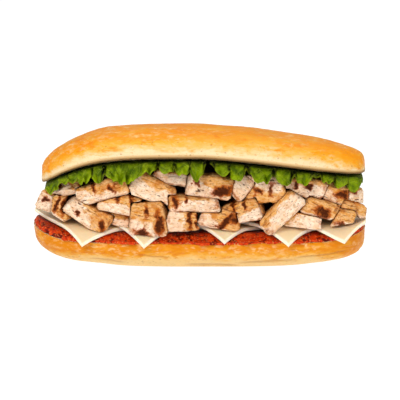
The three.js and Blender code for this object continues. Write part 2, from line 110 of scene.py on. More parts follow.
# Puts points in millimetres and their triangles into an object at the origin; fields hold a value or a vector
# for each vertex
def makePiece(name, points, faces, fields, material, node):
    mesh = bpy.data.meshes.new(name)
    mesh.vertices.add(len(points))
    mesh.vertices.foreach_set("co", ((points + shift) / 1000).astype(np.float32).ravel())
    mesh.loops.add(faces.size)
    mesh.loops.foreach_set("vertex_index", faces.astype(np.int32).ravel())
    mesh.polygons.add(len(faces))
    mesh.polygons.foreach_set("loop_start", np.arange(len(faces), dtype=np.int32) * 3)
    mesh.polygons.foreach_set("use_smooth", np.ones(len(faces), dtype=bool))
    mesh.update(calc_edges=True)
    for key, value in fields.items():
        single = value.ndim == 1
        attribute = mesh.attributes.new(key, "FLOAT" if single else "FLOAT_VECTOR", "POINT")
        attribute.data.foreach_set("value" if single else "vector", value.astype(np.float32).ravel())
    mesh.materials.append(material)
    piece = bpy.data.objects.new(name, mesh)
    bpy.context.scene.collection.objects.link(piece)
    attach(piece, "root")
    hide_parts(node)


# Triangles of a grid of vertex numbers, two a cell; wrap joins the last column to the first
def gridFaces(numbers, wrap=False):
    if wrap:
        numbers = np.concatenate([numbers, numbers[:, :1]], axis=1)
    a, b = numbers[:-1, :-1].ravel(), numbers[1:, :-1].ravel()
    c, d = numbers[1:, 1:].ravel(), numbers[:-1, 1:].ravel()
    return np.concatenate([np.stack([a, b, c], 1), np.stack([a, c, d], 1)])


# A closed body from tip to tip: rings at x share -cos(pi i / along), each a full turn of the angle whose
# cosine gives the side and whose sine gives up and down, and one point at each tip; crowd draws the angles
# toward the sides
def endToEnd(place, along, around, crowd=0.0):
    share = -np.cos(np.pi * np.arange(1, along) / along)[:, None]
    angle = (2 * np.pi * np.arange(around) / around)[None, :]
    angle = angle - 0.5 * crowd * np.sin(2 * angle)
    share, angle = np.broadcast_arrays(share, angle)
    cosine, sine = np.cos(angle), np.sin(angle)
    rings = place(share, cosine, sine)
    tips = place(np.array([[-1.0], [1.0]]), np.zeros((2, 1)), np.zeros((2, 1)))
    points = np.concatenate([rings.reshape(-1, 3), tips.reshape(-1, 3)])
    numbers = np.arange((along - 1) * around).reshape(along - 1, around)
    following = np.roll(numbers, -1, axis=1)
    leftTip = np.full(around, len(points) - 2)
    rightTip = np.full(around, len(points) - 1)
    faces = np.concatenate([
        gridFaces(numbers, wrap=True)[:, ::-1],
        np.stack([leftTip, following[0], numbers[0]], 1),
        np.stack([rightTip, numbers[-1], following[-1]], 1),
    ])
    sineField = np.concatenate([sine.ravel(), [0, 0]])
    return points, faces, sineField


# Triangles of one face of a sheet: the grid's, with the diagonals of two corner cells turned so that no
# triangle lies on the border with all its vertices
def sheetFaces(numbers):
    faces = gridFaces(numbers)
    across = numbers.shape[1] - 1
    cells = (numbers.shape[0] - 1) * across
    for cell in (across - 1, cells - across):
        (a, b, c), d = faces[cell].copy(), faces[cell + cells][2]
        faces[cell] = a, b, d
        faces[cell + cells] = b, c, d
    return faces


# A closed sheet: an upper and a lower face on one grid, which share the vertices of the border
def closedSheet(upper, lower):
    rows, columns = upper.shape[:2]
    above = np.arange(rows * columns).reshape(rows, columns)
    inner = np.arange((rows - 2) * (columns - 2)).reshape(rows - 2, columns - 2) + rows * columns
    below = above.copy()
    below[1:-1, 1:-1] = inner
    points = np.concatenate([upper.reshape(-1, 3), lower[1:-1, 1:-1].reshape(-1, 3)])
    faces = np.concatenate([sheetFaces(above), sheetFaces(below)[:, ::-1]])
    return points, faces


# A value on the sheet's grid, listed for both faces
def onSheet(value):
    return np.concatenate([value.reshape(-1), value[1:-1, 1:-1].reshape(-1)])


# Share of the full size left at x, from 1 in the middle to 0 at a blunt tip: (1 - share^p)^(1/p)
def taper(x, left, right, power):
    share = np.clip(np.where(x < 0, -x / left, x / right), 0, 1)
    return (1 - share ** power) ** (1 / power)


# The power of a value's size, with the value's own sign
def signedPower(value, power):
    return np.sign(value) * np.abs(value) ** power


# Colour from red, green and blue of 0 to 255 as they look on the screen
def tint(red, green, blue):
    parts = [value / 255 for value in (red, green, blue)]
    return tuple(p / 12.92 if p < 0.04045 else ((p + 0.055) / 1.055) ** 2.4 for p in parts) + (1.0,)


# A socket that can be used in sums: each operator adds one Math node
class Wire:
    def __init__(self, recipe, socket):
        self.recipe = recipe
        self.socket = socket

    def combine(self, operation, first, second):
        node = self.recipe.make("Math", {"operation": operation}, {0: first, 1: second})
        return Wire(self.recipe, node.outputs[0])

    def __add__(self, other):
        return self.combine("ADD", self, other)

    def __radd__(self, other):
        return self.combine("ADD", other, self)

    def __sub__(self, other):
        return self.combine("SUBTRACT", self, other)

    def __rsub__(self, other):
        return self.combine("SUBTRACT", other, self)

    def __mul__(self, other):
        return self.combine("MULTIPLY", self, other)

    def __rmul__(self, other):
        return self.combine("MULTIPLY", other, self)


# One material: make() adds any node from its kind, its settings and then the values or links of its sockets
class Recipe:
    def __init__(self, name):
        self.material = bpy.data.materials.new(name)
        self.material.use_nodes = True
        self.tree = self.material.node_tree
        self.tree.nodes.clear()
        place = self.make("TexCoord").outputs["Object"]
        scaled = self.make("VectorMath", {"operation": "SCALE"}, {0: Wire(self, place), "Scale": 1000.0})
        self.millimetres = Wire(self, scaled.outputs[0])

    def make(self, kind, settings=None, sockets=None):
        node = self.tree.nodes.new("ShaderNode" + kind)
        for key, value in (settings or {}).items():
            setattr(node, key, value)
        for key, value in (sockets or {}).items():
            if isinstance(value, Wire):
                self.tree.links.new(value.socket, node.inputs[key])
            else:
                node.inputs[key].default_value = value
        return node

    # The vertex field of that name, as a number or as a vector
    def field(self, name, vector=False):
        node = self.make("Attribute", {"attribute_name": name})
        return Wire(self, node.outputs["Vector" if vector else "Fac"])

    # The place divided by one size in millimetres, or by sizes along three axes
    def stretched(self, size, place):
        sizes = size if isinstance(size, tuple) else (size, size, size)
        sockets = {0: place or self.millimetres, 1: sizes}
        return Wire(self, self.make("VectorMath", {"operation": "DIVIDE"}, sockets).outputs[0])

    # Noise from 0 to 1 whose first cell has that size or sizes
    def noise(self, size, detail=2.0, roughness=0.5, place=None, distortion=0.0):
        sockets = {"Vector": self.stretched(size, place), "Scale": 1.0, "Detail": detail}
        sockets.update({"Roughness": roughness, "Distortion": distortion})
        return Wire(self, self.make("TexNoise", None, sockets).outputs[0])

    # Distance to the nearest of scattered points, or to the border between them, in cells of that size
    def cells(self, size, place=None, feature="F1"):
        sockets = {"Vector": self.stretched(size, place), "Scale": 1.0}
        return Wire(self, self.make("TexVoronoi", {"feature": feature}, sockets).outputs["Distance"])

    # 0 where value is at low, 1 where it is at high, smooth between them
    def step(self, value, low, high):
        settings = {"interpolation_type": "SMOOTHSTEP"}
        node = self.make("MapRange", settings, {0: value, 1: low, 2: high, 3: 0.0, 4: 1.0})
        return Wire(self, node.outputs[0])

    # The first colour where factor is 0 and the second where it is 1
    def blend(self, factor, first, second):
        settings = {"data_type": "RGBA", "blend_type": "MIX"}
        return Wire(self, self.make("Mix", settings, {0: factor, 6: first, 7: second}).outputs[2])

    # Surface relief from a height in shares of distance, which is in millimetres
    def relief(self, height, distance, strength=1.0):
        sockets = {"Strength": strength, "Distance": distance / 1000, "Height": height}
        return Wire(self, self.make("Bump", None, sockets).outputs[0])

    # Ends the material with one shader and gives the material back
    def finish(self, colour, roughness, normal, constants):
        sockets = {"Base Color": colour, "Roughness": roughness, "Normal": normal}
        sockets.update(constants)
        shader = self.make("BsdfPrincipled", None, sockets)
        self.make("OutputMaterial", None, {"Surface": Wire(self, shader.outputs[0])})
        return self.material


# Camera: straight in front and 8 degrees above, aimed at the filling, with 248 mm of its plane in the frame
camera = dict(distance=2.0, frameWidth=0.248, lookHeight=0.0391, elevation=8.0, sensor=36, farthest=50)
lens = bpy.data.cameras.new("camera")
lens.sensor_width = camera["sensor"]
lens.lens = camera["sensor"] * camera["distance"] / camera["frameWidth"]
lens.clip_end = camera["farthest"]
viewer = bpy.data.objects.new("camera", lens)
lift = math.radians(camera["elevation"])
target = Vector((shift[0] / 1000, 0, camera["lookHeight"]))
viewer.location = target + camera["distance"] * Vector((0, -math.cos(lift), math.sin(lift)))
viewer.rotation_euler = (math.pi / 2 - lift, 0, 0)
bpy.context.scene.collection.objects.link(viewer)
bpy.context.scene.camera = viewer
bpy.context.scene.view_settings.view_transform = "Standard"

# Light: a bright white room, a soft key from the upper left front, a fill from the right and one above; each
# lamp has its place, size and power
lights = dict(room=0.39, aim=(0, 0, 0.04))
lamps = dict(keyLight=((-0.45, -1.1, 0.75), 0.6, 10.4), fillLight=((0.9, -1.0, 0.45), 1.0, 4.5),
             topLight=((0.1, 0.35, 1.3), 1.0, 5.5))
world = bpy.data.worlds.new("room")
world.use_nodes = True
world.node_tree.nodes["Background"].inputs["Color"].default_value = (1, 1, 1, 1)
world.node_tree.nodes["Background"].inputs["Strength"].default_value = lights["room"]
bpy.context.scene.world = world


def areaLight(name, place, size, power):
    data = bpy.data.lights.new(name, "AREA")
    data.shape = "DISK"
    data.size = size
    data.energy = power
    lamp = bpy.data.objects.new(name, data)
    lamp.location = place
    lamp.rotation_euler = (Vector(lights["aim"]) - Vector(place)).to_track_quat("-Z", "Y").to_euler()
    bpy.context.scene.collection.objects.link(lamp)


for name, (place, size, power) in lamps.items():
    areaLight(name, place, size, power)

# Floor: a wide, nearly white plane just under the roll
ground = dict(half=8, depth=0.0002, glow=0.96)
recipe = Recipe("floor_white")
mottle = recipe.noise(300.0, 2.0)
floorColour = recipe.blend(mottle, tint(124, 124, 124), tint(118, 118, 118))
floorMaterial = recipe.finish(floorColour, 0.9, recipe.relief(recipe.noise(2.0), 0.02), {
    "Specular IOR Level": 0.2, "Emission Color": (1, 1, 1, 1), "Emission Strength": ground["glow"]})
floorMesh = bpy.data.meshes.new("floor")
signs = ((-1, -1), (1, -1), (1, 1), (-1, 1))
corners = [(x * ground["half"], y * ground["half"], -ground["depth"]) for x, y in signs]
floorMesh.from_pydata(corners, [], [(0, 1, 2, 3)])
floorMesh.materials.append(floorMaterial)
floor = bpy.data.objects.new("floor", floorMesh)
bpy.context.scene.collection.objects.link(floor)
print("camera, light and floor")

# Roll: both halves taper to blunt tips, and their left and right ends have their own lengths and powers
roll = dict(halfWidth=37, planPower=3, cutPower=0.5)
base = dict(left=103, right=102.5, rim=17.4, crown=0.4, wave=0.8, waveLength=13, riseLeft=8, riseRight=6,
            risePower=7, liftLeft=4, liftRight=3.2, liftPower=3, sink=1.1, fullLeft=3.6, fullRight=4.8,
            sidePower=0.8)
lid = dict(left=98, right=102.3, edge=71, droopLeft=21, droopRight=13, droopPowerLeft=4.2,
           droopPowerRight=1.35, height=15.6, lip=3, fullLeft=6, fullRight=5.4, tipLiftLeft=0.42,
           tipLiftRight=0.16, sidePower=0.84, risePower=0.82, wave=-0.3, shortWave=9.5, shortStart=0.6,
           longWave=31, longStart=1.3)


# Share of the half length at x, from 0 in the middle to 1 at the tip of the base or the lid
def lengthShare(x, half):
    return np.clip(np.where(x < 0, -x / half["left"], x / half["right"]), 0, 1)


# Share of the full height at x, from 1 in the middle to 0 at the tips, with one power for each end
def fullness(x, half):
    return np.where(x < 0, taper(x, half["left"], half["right"], half["fullLeft"]),
                    taper(x, half["left"], half["right"], half["fullRight"]))


# Low waves of the cut rim: wave cos(x / waveLength) |x| / left
def rimWave(x):
    return base["wave"] * np.cos(x / base["waveLength"]) * np.abs(x) / base["left"]


# Height of the base's cut rim: rim plus a rise with the seventh power of the length share, less the wave
def baseRim(x):
    rise = np.where(x < 0, base["riseLeft"], base["riseRight"])
    return base["rim"] + rise * lengthShare(x, base) ** base["risePower"] - rimWave(x)


# Height of the lid's edge: edge less a droop with a power of the length share, which differs at the two ends
def lidEdge(x):
    share = lengthShare(x, lid)
    droopLeft = lid["droopLeft"] * share ** lid["droopPowerLeft"]
    droopRight = lid["droopRight"] * share ** lid["droopPowerRight"]
    return lid["edge"] - np.where(x < 0, droopLeft, droopRight)


# How far the lid's tips lift: a share of the height times 1 less the fullness
def lidLift(x):
    return lid["height"] * np.where(x < 0, lid["tipLiftLeft"], lid["tipLiftRight"]) * (1 - fullness(x, lid))


# Height of the lid's underside: its edge and lift less the lip times the fullness
def lidUnder(x):
    return lidEdge(x) + lidLift(x) - lid["lip"] * fullness(x, lid)


# Lid: side by the taper times cosine^0.84 (0.5 below the edge), height by sine^0.82 over the edge
def lidPoint(share, cosine, sine):
    x = share * np.where(share < 0, lid["left"], lid["right"])
    width = roll["halfWidth"] * taper(x, lid["left"], lid["right"], roll["planPower"])
    full = fullness(x, lid)
    wave = lid["wave"] * np.sin(x / lid["shortWave"] + lid["shortStart"])
    wave = wave * np.sin(x / lid["longWave"] + lid["longStart"])
    y = width * signedPower(cosine, np.where(sine > 0, lid["sidePower"], roll["cutPower"]))
    above = (lid["height"] + wave) * full * np.abs(sine) ** lid["risePower"]
    below = lid["lip"] * full * np.abs(sine) ** roll["cutPower"]
    return np.stack([x, y, lidEdge(x) + lidLift(x) + np.where(sine > 0, above, -below)], axis=-1)


# Base: side by the taper times cosine^0.8 (0.5 above the rim), depth by sine^0.8 down to a flat foot at 0
def basePoint(share, cosine, sine):
    x = share * np.where(share < 0, base["left"], base["right"])
    width = roll["halfWidth"] * taper(x, base["left"], base["right"], roll["planPower"])
    full = fullness(x, base)
    rim = baseRim(x)
    lifted = np.where(x < 0, base["liftLeft"], base["liftRight"]) * np.abs(share) ** base["liftPower"]
    lifted = lifted - base["sink"]
    bottom = rim + (lifted - rim) * full
    y = width * signedPower(cosine, np.where(sine > 0, roll["cutPower"], base["sidePower"]))
    above = rim + base["crown"] * full * np.abs(sine) ** roll["cutPower"]
    below = np.maximum(0, rim - (rim - bottom) * np.abs(sine) ** base["sidePower"])
    return np.stack([x, y, np.where(sine > 0, above, below)], axis=-1)


# Crust material: climb runs from the pale side to the browned top, and endward from the middle to the tips;
# cut is 1 on the crumb; lip, on the lid's underside beside it, and crease, in the folds, carry painted shade
def crustMaterial(name, colours, browning):
    recipe = Recipe(name)
    climb = recipe.field("climb")
    endward = recipe.field("endward")
    cut = recipe.field("cut")
    lip = recipe.field("lip")
    creaseShade = recipe.field("creaseShade")
    broad = recipe.noise((38.0, 22.0, 13.0), 3.0, 0.55)
    blotch = recipe.noise((10.0, 7.0, 4.0), 4.0, 0.62, distortion=0.4)
    fleck = recipe.noise((4.8, 4.0, 2.2), 4.0, 0.66, distortion=0.3)
    grain = recipe.noise(0.8, 3.0, 0.6)
    heat = climb + endward * browning["endward"] + (broad - 0.5) * 0.8 + (blotch - 0.5) * browning["blotch"]
    heat = heat + (fleck - 0.5) * 0.5
    gold = recipe.step(heat, browning["goldFrom"], browning["goldTo"])
    brown = recipe.step(heat, browning["brownFrom"], browning["brownTo"])
    colour = recipe.blend(gold, colours["pale"], colours["gold"])
    colour = recipe.blend(brown, colour, colours["brown"])
    light = recipe.step(fleck, 0.46, 0.72) * recipe.step(broad, 0.38, 0.58)
    light = light * recipe.step(climb, 0.2, 0.5)
    colour = recipe.blend(light * browning["flecks"], colour, colours["light"])
    tan = recipe.step(recipe.noise((24.0, 14.0, 5.0), 3.0, 0.6, distortion=0.5), 0.52, 0.66)
    tan = tan * recipe.step(climb, 0.3, 0.6)
    colour = recipe.blend(tan * browning["tan"], colour, colours["gold"])
    toasted = recipe.step(blotch, 0.54, 0.72) * gold
    colour = recipe.blend(toasted * 0.45, colour, colours["toasted"])
    freckle = recipe.step(recipe.noise((1.5, 1.5, 1.0), 2.0, 0.6), 0.6, 0.7)
    colour = recipe.blend(freckle * (1.0 - brown) * 0.5, colour, colours["freckle"])
    pocks = recipe.step(recipe.cells((5.0, 4.0, 3.4)), 0.16, 0.08) * recipe.step(climb, 0.75, 0.45)
    colour = recipe.blend(pocks * 0.45, colour, tint(150, 88, 34))
    # Painted shade: the folds of the base's side are blended toward a dull brown, as a shadow line along each
    # fold
    colour = recipe.blend(creaseShade * 0.55, colour, tint(176, 112, 46))
    crumb = recipe.blend(recipe.noise(2.4, 4.0, 0.7), tint(232, 206, 158), tint(246, 232, 200))
    # Painted shade and painted lettuce reflection: the lowest strip turns olive tan, by the under share
    colour = recipe.blend(recipe.step(climb, 0.1, 0.0) * browning["under"], colour, tint(196, 150, 76))
    colour = recipe.blend(cut, colour, crumb)
    # Painted shade: the lip on the lid's underside beside the cut edge turns dark brown, as the shadow line
    # under the lid
    colour = recipe.blend(lip * 0.9, colour, tint(128, 84, 26))
    shine = 0.42 + (grain - 0.5) * 0.2 + (1.0 - gold) * 0.14
    pores = recipe.step(recipe.cells(1.5), 0.0, 0.35)
    height = blotch * 0.5 + grain * 0.14 + recipe.noise((7.0, 4.0, 1.1), 4.0, 0.62, distortion=0.5) * 0.5
    height = height + (pores - 1.0) * cut * 0.9 - pocks * 0.3
    normal = recipe.relief(height, 0.75, 0.9)
    return recipe.finish(colour, shine, normal, {
        "Subsurface Weight": 0.1, "Subsurface Radius": (1.0, 0.5, 0.25), "Subsurface Scale": 0.002,
        "Coat Weight": 0.02, "Coat Roughness": 0.3, "Specular IOR Level": 0.1})


lidColours = dict(pale=tint(238, 210, 164), gold=tint(240, 172, 48), brown=tint(242, 148, 0),
                  light=tint(250, 214, 148), freckle=tint(200, 140, 70), toasted=tint(230, 112, 0))
baseColours = dict(pale=tint(234, 194, 126), gold=tint(232, 164, 46), brown=tint(216, 128, 0),
                   light=tint(244, 210, 150), freckle=tint(190, 122, 50), toasted=tint(206, 100, 0))
# under is the share of painted shade and painted lettuce reflection on the lid's lowest strip; the base has
# none
lidBrowning = dict(endward=0.24, blotch=0.75, goldFrom=0.14, goldTo=0.6, brownFrom=0.36, brownTo=0.84,
                   flecks=0.7, tan=0.55, under=0.6)
baseBrowning = dict(endward=0.7, blotch=1.0, goldFrom=0.22, goldTo=0.72, brownFrom=0.46, brownTo=0.96,
                    flecks=0.7, tan=0.6, under=0.0)
# Folds of the base's side, from x and z to x and z, with their width and depth
baseCreases = [(20, 3.2, 62, 5.6, 0.8, 0.7), (54, 6.6, 94, 10.6, 0.7, 0.6), (-12, 2.4, 26, 1.1, 0.9, 0.8),
               (-70, 6.2, -44, 4.2, 0.7, 0.35), (-40, 9.6, -16, 8.6, 0.6, 0.3)]
crust = dict(along=420, around=180, swell=0.7, swellIn=0.45, wrinkle=0.26, pock=0.45, crumb=0.3, crumbIn=0.2,
             footHeight=1.2, wander=0.7)


# How far each point lies in a fold: a bell over the distance from the line, which fades at the line's ends
def creaseField(points, creases):
    total, deepest = np.zeros(len(points)), np.zeros(len(points))
    wander = crust["wander"] * fractalNoise(points, (9, 9, 9), 2, 81)
    for fromX, fromZ, toX, toZ, width, depth in creases:
        share = (points[:, 0] - fromX) / (toX - fromX)
        away = points[:, 2] + wander - fromZ - (toZ - fromZ) * share
        bell = np.exp(-(away / width) ** 2) * smooth(0, 0.25, share) * smooth(1, 0.75, share)
        total, deepest = total + depth * bell, np.maximum(deepest, bell)
    return total, deepest


# A crust body: low swells, short wrinkles, small pocks and folds, all along the normal, and crumb on the cut
# side, which faces up on the base and down on the lid; the foot that it rests on stays flat
def makeCrust(name, place, material, cutAbove, seed, creases):
    points, faces, sine = endToEnd(place, crust["along"], crust["around"])
    normals = vertexNormals(points, faces)
    swell = fractalNoise(points, (30, 20, 14), 3, seed) * crust["swell"] - crust["swellIn"]
    wrinkle = fractalNoise(points, (8, 4, 1.6), 3, seed + 5) * crust["wrinkle"]
    pock = -crust["pock"] * smooth(0.45, 0.75, fractalNoise(points, (2.4, 2.0, 1.3), 2, seed + 9))
    crumbLow = fractalNoise(points, (2.2, 2.2, 2.2), 3, seed + 11) * crust["crumb"] - crust["crumbIn"]
    # The second mask from the folds is only used for a painted shade in the crust material
    folded, creaseShade = creaseField(points, creases)
    cut = smooth(0.0, 0.12, sine) if cutAbove else smooth(0.0, 0.12, -sine)
    foot = 1 - smooth(crust["footHeight"], 0.1, points[:, 2])
    move = (swell + wrinkle + pock - folded) * (1 - cut) + crumbLow * cut
    points = points + normals * (move * foot)[:, None]
    points[:, 2] = np.maximum(points[:, 2], 0)
    x = points[:, 0]
    if cutAbove:
        climb = 1 - smooth(0, 1, np.clip(-sine, 0, 1) ** 0.8)
        lip = np.zeros_like(x)
    else:
        climb = np.clip(sine, 0, 1) ** 0.82
        # lip marks a band of the lid's underside beside the cut edge, which the material darkens as a painted
        # shade
        lip = smooth(0.02, -0.06, sine) * smooth(-0.75, -0.4, sine)
    endward = smooth(0.6, 1.0, np.abs(x) / 102)
    fields = {"climb": climb, "endward": endward, "cut": cut, "lip": lip, "creaseShade": creaseShade * (1 - cut)}
    makePiece(name, points, faces, fields, material, name.replace("crust_", "bun_"))


lidMaterial = crustMaterial("crust_lid_baked", lidColours, lidBrowning)
baseMaterial = crustMaterial("crust_base_baked", baseColours, baseBrowning)
makeCrust("crust_lid", lidPoint, lidMaterial, False, 3, [])
makeCrust("crust_base", basePoint, baseMaterial, True, 21, baseCreases)
print("roll")

# Filling: the drape is the underside of the cheese, and the sauce lies between it and the rim of the base
filling = dict(gap=0.35, top=24.5, drop=9, dropPower=1.5, start=0.68, range=0.45, reachPower=5, endLeft=13,
               endRight=9, endPower=6)
slices = dict(side=57, thickness=2.3, pitch=3.05, overlap=1.32, trimEnd=102.4, trimSide=60, bevel=1.1,
              columns=72, unevenness=0.16)
sauce = dict(left=100.9, right=100.4, half=36.9, planPower=3.2, sidePower=0.6, heightPower=0.5, least=0.8,
             sink=0.6, endNearer=0.65, along=760, around=120, crowd=0.86, topRough=0.15, spill=0.75,
             spillUneven=1.1, spillLeast=0.1, spillMost=1.7, sag=0.9)


# Drape: top plus a rise at the ends with the sixth power of the length share, less a drop past the start
# with the power 1.5 of the reach, which is the fifth root of the sum of the fifth powers of both shares
def drape(x, y):
    along = np.abs(x) / np.where(x < 0, base["left"], base["right"])
    across = np.abs(y) / roll["halfWidth"]
    reach = (along ** filling["reachPower"] + across ** filling["reachPower"]) ** (1 / filling["reachPower"])
    rise = np.where(x < 0, filling["endLeft"], filling["endRight"])
    rise = rise * np.minimum(along, 1) ** filling["endPower"]
    outside = np.maximum(0, reach - filling["start"]) / filling["range"]
    return filling["top"] + rise - filling["drop"] * outside ** filling["dropPower"] - rimWave(x)


# Room for the stacked slices, widest along the middle line: overlap pitch (1 - |y| / half the diagonal)
def stackRoom(y):
    halfDiagonal = slices["side"] / math.sqrt(2)
    return slices["overlap"] * slices["pitch"] * np.maximum(0, 1 - np.abs(y) / halfDiagonal)


# Sauce: side by the taper, a small wave and cosine^0.6; the height is spread between the rim and the drape,
# and at the two ends it comes nearer to the single slice there
def saucePoint(share, cosine, sine):
    x = share * np.where(share < 0, sauce["left"], sauce["right"])
    wave = 1 + 0.02 * np.sin(x / 4.1) + 0.015 * np.sin(x / 2.3 + 1)
    width = sauce["half"] * taper(x, sauce["left"], sauce["right"], sauce["planPower"]) * wave
    y = width * signedPower(cosine, sauce["sidePower"])
    ends = 1 - sauce["endNearer"] * smooth(-52, -68, x) - sauce["endNearer"] * smooth(84, 92, x)
    top = drape(x, y) - filling["gap"] - stackRoom(y) * ends
    top = np.maximum(top, baseRim(x) + base["crown"] + filling["gap"] + sauce["least"])
    bottom = baseRim(x) - sauce["sink"]
    half = (top - bottom) / 2
    return np.stack([x, y, bottom + half + half * signedPower(sine, sauce["heightPower"])], axis=-1)


# Lumps and granules stand out along the normal on the outer side, where the sauce also spills over the rim by
# an uneven amount and sags below it
def makeSauce():
    points, faces, sine = endToEnd(saucePoint, sauce["along"], sauce["around"], sauce["crowd"])
    normals = vertexNormals(points, faces)
    lumps = fractalNoise(points, (3.2, 3.2, 2.4), 3, 31)
    granules = fractalNoise(points, (1.3, 1.3, 1.1), 2, 35)
    outer = smooth(0.5, 0.9, 1 - normals[:, 2] ** 2)
    along = np.stack([points[:, 0], np.sign(points[:, 1]) * 30, np.zeros(len(points))], axis=1)
    spill = sauce["spill"] + sauce["spillUneven"] * fractalNoise(along, (9, 9, 1), 3, 38)
    spill = np.clip(spill, sauce["spillLeast"], sauce["spillMost"])
    spill = spill * smooth(26, 34, np.hypot(points[:, 1], 0.36 * np.maximum(np.abs(points[:, 0]) - 8, 0)))
    low = smooth(0.0, -0.02, sine)
    move = (lumps + granules) * outer + (sauce["topRough"] * lumps - sauce["topRough"]) * (1 - outer)
    points = points + normals * move[:, None]
    flat = normals * np.array([1, 1, 0])
    flat = flat / np.maximum(np.linalg.norm(flat, axis=1, keepdims=True), 1e-6)
    points = points + flat * (spill * smooth(0.4, 0.0, np.abs(sine)))[:, None]
    points[:, 2] -= sauce["sag"] * spill * low * smooth(-0.6, 0.0, sine)
    pit = smooth(-0.04, -0.42, lumps + 0.7 * granules)
    makePiece("tomato_sauce", points, faces, {"pit": pit}, sauceMaterial, "sauce")


recipe = Recipe("tomato_sauce_chunky")
pit = recipe.field("pit")
pulp = recipe.noise(1.3, 3.0, 0.65)
clump = recipe.noise(3.4, 2.0, 0.5)
# Painted glints: small light orange spots stand for highlights on the wet sauce; the same spots also raise
# its relief a little
paintedGlints = recipe.step(recipe.cells(1.5), 0.36, 0.16)
colour = recipe.blend(recipe.step(pulp, 0.35, 0.65), tint(178, 34, 0), tint(218, 66, 6))
colour = recipe.blend(recipe.step(clump, 0.5, 0.7) * 0.6, colour, tint(230, 90, 16))
colour = recipe.blend(pit * 0.9, colour, tint(84, 4, 0))
colour = recipe.blend(paintedGlints * 0.75, colour, tint(238, 140, 76))
shine = 0.3 + pulp * 0.25
normal = recipe.relief(pulp * 0.7 + paintedGlints * 0.3, 0.9, 1.0)
sauceMaterial = recipe.finish(colour, shine, normal, {
    "Subsurface Weight": 0.1, "Subsurface Radius": (1.0, 0.2, 0.1), "Subsurface Scale": 0.001,
    "Coat Weight": 0.03, "Coat Roughness": 0.15, "Specular IOR Level": 0.1})
makeSauce()
print("sauce")

# Cheese: five square slices laid corner to the front, with their x, their turn in degrees and how far forward
# they lie
sliceCentres = [(-65.6, -9, 2.4), (-34.1, 0, 2.8), (14.2, 1, -0.4), (49.7, 6, 1.5), (82.4, 8, 1.2)]


# Place along the row of slices: 0 at the first centre, 1 at the second and so on
def sliceIndex(x):
    centres = [centre for centre, turn, shifted in sliceCentres]
    return np.interp(x, centres, np.arange(len(centres)))


# A slice: a square turned by 45 degrees and its own turn, on the drape at its order's height. The thickness
# follows (1 - (1 - d / bevel)^4)^(1/4) of the distance d from the border, which squares its cut side. The
# first and the last slice are drawn in where they would stand out past the roll's end.
def makeSlice(order):
    centre, turn, shifted = sliceCentres[order]
    half, bevel = slices["side"] / 2, slices["bevel"]
    near = bevel * np.array([0, 0.004, 0.03, 0.1, 0.25, 0.55, 1])
    inside = np.linspace(-half + bevel, half - bevel, slices["columns"])[1:-1]
    line = np.concatenate([-half + near, inside, (half - near)[::-1]])
    a, b = np.meshgrid(line, line, indexing="ij")
    border = half - np.maximum(np.abs(a), np.abs(b))
    profile = (1 - (1 - np.clip(border / bevel, 0, 1)) ** 4) ** 0.25
    turned = math.radians(45 + turn)
    if order in (0, len(sliceCentres) - 1):
        size = np.maximum(np.abs(a), np.abs(b)) / half
        toX = (a * math.cos(turned) - b * math.sin(turned)) / np.maximum(size, 1e-9)
        toY = (a * math.sin(turned) + b * math.cos(turned)) / np.maximum(size, 1e-9)
        low, high = np.zeros_like(a), np.ones_like(a)
        for halving in range(14):
            limit = np.where(halving == 0, 1.0, (low + high) / 2)
            x, y = centre + toX * limit, toY * limit - shifted
            over = (np.abs(x) / slices["trimEnd"]) ** 4 + (np.abs(y) / slices["trimSide"]) ** 4 > 1
            low, high = np.where(over, low, limit), np.where(over, limit, high)
        a, b = a * low, b * low
    x = centre + a * math.cos(turned) - b * math.sin(turned)
    y = a * math.sin(turned) + b * math.cos(turned) - shifted
    middle = drape(x, y) + slices["pitch"] * (order - sliceIndex(x)) + slices["thickness"] / 2
    flat = np.stack([x, y, np.zeros_like(x)], axis=-1)
    middle = middle + slices["unevenness"] * fractalNoise(flat, (14, 14, 1), 2, 40 + order)
    rise = profile * (slices["thickness"] / 2 - 0.05)
    upper = np.stack([x, y, middle + rise], axis=-1)
    lower = np.stack([x, y, middle - rise], axis=-1)
    points, faces = closedSheet(upper, lower)
    # edge marks the cut side and a thin band beside it, which the material lightens as a painted highlight
    edge = onSheet(smooth(0.9, 0.25, border))
    inner = onSheet(np.clip(border / half, 0, 1))
    makePiece(f"cheese_slice_{order + 1}", points, faces, {"edge": edge, "inner": inner},
              cheeseMaterial, f"cheese_{order + 1}")


recipe = Recipe("cheese_pale")
edge = recipe.field("edge")
cloud = recipe.noise(16.0, 3.0, 0.5)
speck = recipe.noise(1.2, 3.0, 0.6)
colour = recipe.blend(cloud, tint(242, 218, 176), tint(238, 210, 164))
colour = recipe.blend(recipe.step(speck, 0.6, 0.75) * 0.3, colour, tint(250, 230, 192))
# Painted highlight: the cut side of each slice is blended toward near-white, as if lit from the front
colour = recipe.blend(edge * 0.85, colour, tint(250, 238, 214))
shine = 0.42 + (speck - 0.5) * 0.2
normal = recipe.relief(speck * 0.4 + recipe.noise(5.0, 2.0) * 0.6, 0.25, 0.6)
cheeseMaterial = recipe.finish(colour, shine, normal, {
    "Subsurface Weight": 0.35, "Subsurface Radius": (1.0, 0.7, 0.35), "Subsurface Scale": 0.003,
    "Specular IOR Level": 0.45})
for order in range(len(sliceCentres)):
    makeSlice(order)
print("cheese")

